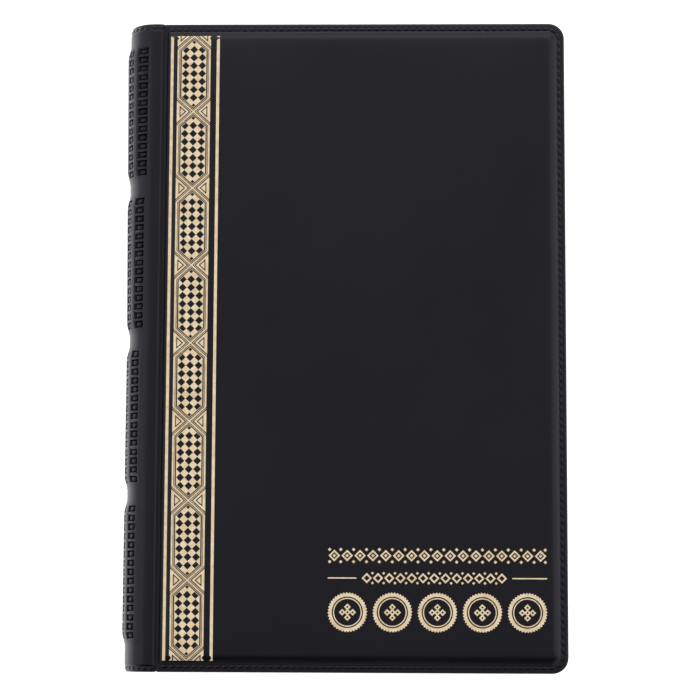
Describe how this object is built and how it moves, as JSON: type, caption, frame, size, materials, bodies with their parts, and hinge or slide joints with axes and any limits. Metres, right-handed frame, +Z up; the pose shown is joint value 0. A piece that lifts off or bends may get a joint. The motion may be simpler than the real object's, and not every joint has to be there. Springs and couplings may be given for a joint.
{
  "type": "coin album",
  "caption": "Closed pocket album for coins: padded vinyl covers, a half-round welded spine and clear pages whose pockets open at the top; it opens flat.",
  "frame": {"origin": "centre of the closed album's footprint, on the rear cover's flat outer face", "axes": "+X from the spine to the fore-edge, +Y up the page to the head, +Z up through the closed album to the front cover"},
  "size_m": [0.125, 0.185, 0.0204],
  "materials": {
    "cover_vinyl": "soft black vinyl film with a fine smooth grain, satin sheen",
    "lining_vinyl": "smooth black vinyl lining, satin",
    "padding_foam": "thin white foam padding, matt",
    "grey_board": "pressed grey board, matt fibres",
    "gold_foil": "hot-stamped gold foil, satin metallic",
    "clear_film": "clear soft vinyl film, glossy, slightly blue"
  },
  "bodies": {
    "rear_cover": {"rear_cover_skin": "cover_vinyl", "rear_cover_foam": "padding_foam", "rear_cover_board": "grey_board", "rear_cover_lining": "lining_vinyl"},
    "spine": {"spine_skin": "cover_vinyl", "spine_lining": "lining_vinyl", "page_1_binding_tabs": "clear_film", "page_2_binding_tabs": "clear_film", "page_3_binding_tabs": "clear_film", "page_4_binding_tabs": "clear_film", "page_5_binding_tabs": "clear_film", "page_6_binding_tabs": "clear_film", "page_7_binding_tabs": "clear_film", "page_8_binding_tabs": "clear_film"},
    "front_cover": {"front_cover_skin": "cover_vinyl", "front_cover_foam": "padding_foam", "front_cover_board": "grey_board", "front_cover_lining": "lining_vinyl", "front_cover_gold_foil": "gold_foil"},
    "page_1": {"page_1_backing_film": "clear_film", "page_1_pocket_film": "clear_film"},
    "page_2": {"page_2_backing_film": "clear_film", "page_2_pocket_film": "clear_film"},
    "page_3": {"page_3_backing_film": "clear_film", "page_3_pocket_film": "clear_film"},
    "page_4": {"page_4_backing_film": "clear_film", "page_4_pocket_film": "clear_film"},
    "page_5": {"page_5_backing_film": "clear_film", "page_5_pocket_film": "clear_film"},
    "page_6": {"page_6_backing_film": "clear_film", "page_6_pocket_film": "clear_film"},
    "page_7": {"page_7_backing_film": "clear_film", "page_7_pocket_film": "clear_film"},
    "page_8": {"page_8_backing_film": "clear_film", "page_8_pocket_film": "clear_film"}
  },
  "joints": [
    {"name": "spine_hinge", "type": "hinge", "parent": "rear_cover", "child": "spine", "pos_m": [-0.05225, 0, 0.00158], "axis": [0, -1, 0], "range_deg": [0, 90]},
    {"name": "front_cover_hinge", "type": "hinge", "parent": "spine", "child": "front_cover", "pos_m": [-0.05225, 0, 0.01883], "axis": [0, -1, 0], "range_deg": [0, 90]},
    {"name": "page_1_hinge", "type": "hinge", "parent": "spine", "child": "page_1", "pos_m": [-0.0515, 0, 0.01648], "axis": [0, -1, 0], "range_deg": [0, 70.4]},
    {"name": "page_2_hinge", "type": "hinge", "parent": "spine", "child": "page_2", "pos_m": [-0.0515, 0, 0.01443], "axis": [0, -1, 0], "range_deg": [0, 53.3]},
    {"name": "page_3_hinge", "type": "hinge", "parent": "spine", "child": "page_3", "pos_m": [-0.0515, 0, 0.01239], "axis": [0, -1, 0], "range_deg": [0, 42.5]},
    {"name": "page_4_hinge", "type": "hinge", "parent": "spine", "child": "page_4", "pos_m": [-0.0515, 0, 0.01034], "axis": [0, -1, 0], "range_deg": [0, 34.4]},
    {"name": "page_5_hinge", "type": "hinge", "parent": "spine", "child": "page_5", "pos_m": [-0.0515, 0, 0.00829], "axis": [0, -1, 0], "range_deg": [-46.1, 0]},
    {"name": "page_6_hinge", "type": "hinge", "parent": "spine", "child": "page_6", "pos_m": [-0.0515, 0, 0.00624], "axis": [0, -1, 0], "range_deg": [-56, 0]},
    {"name": "page_7_hinge", "type": "hinge", "parent": "spine", "child": "page_7", "pos_m": [-0.0515, 0, 0.00419], "axis": [0, -1, 0], "range_deg": [-68.15, 0]},
    {"name": "page_8_hinge", "type": "hinge", "parent": "spine", "child": "page_8", "pos_m": [-0.0515, 0, 0.00214], "axis": [0, -1, 0], "range_deg": [-83.9, 0]}
  ],
  "couplings": [
    {"joint": "page_1_hinge", "follows": "front_cover_hinge", "ratio": 0.78},
    {"joint": "page_2_hinge", "follows": "front_cover_hinge", "ratio": 0.59},
    {"joint": "page_3_hinge", "follows": "front_cover_hinge", "ratio": 0.47},
    {"joint": "page_4_hinge", "follows": "front_cover_hinge", "ratio": 0.38},
    {"joint": "page_5_hinge", "follows": "spine_hinge", "ratio": -0.51},
    {"joint": "page_6_hinge", "follows": "spine_hinge", "ratio": -0.62},
    {"joint": "page_7_hinge", "follows": "spine_hinge", "ratio": -0.755},
    {"joint": "page_8_hinge", "follows": "spine_hinge", "ratio": -0.93}
  ]
}
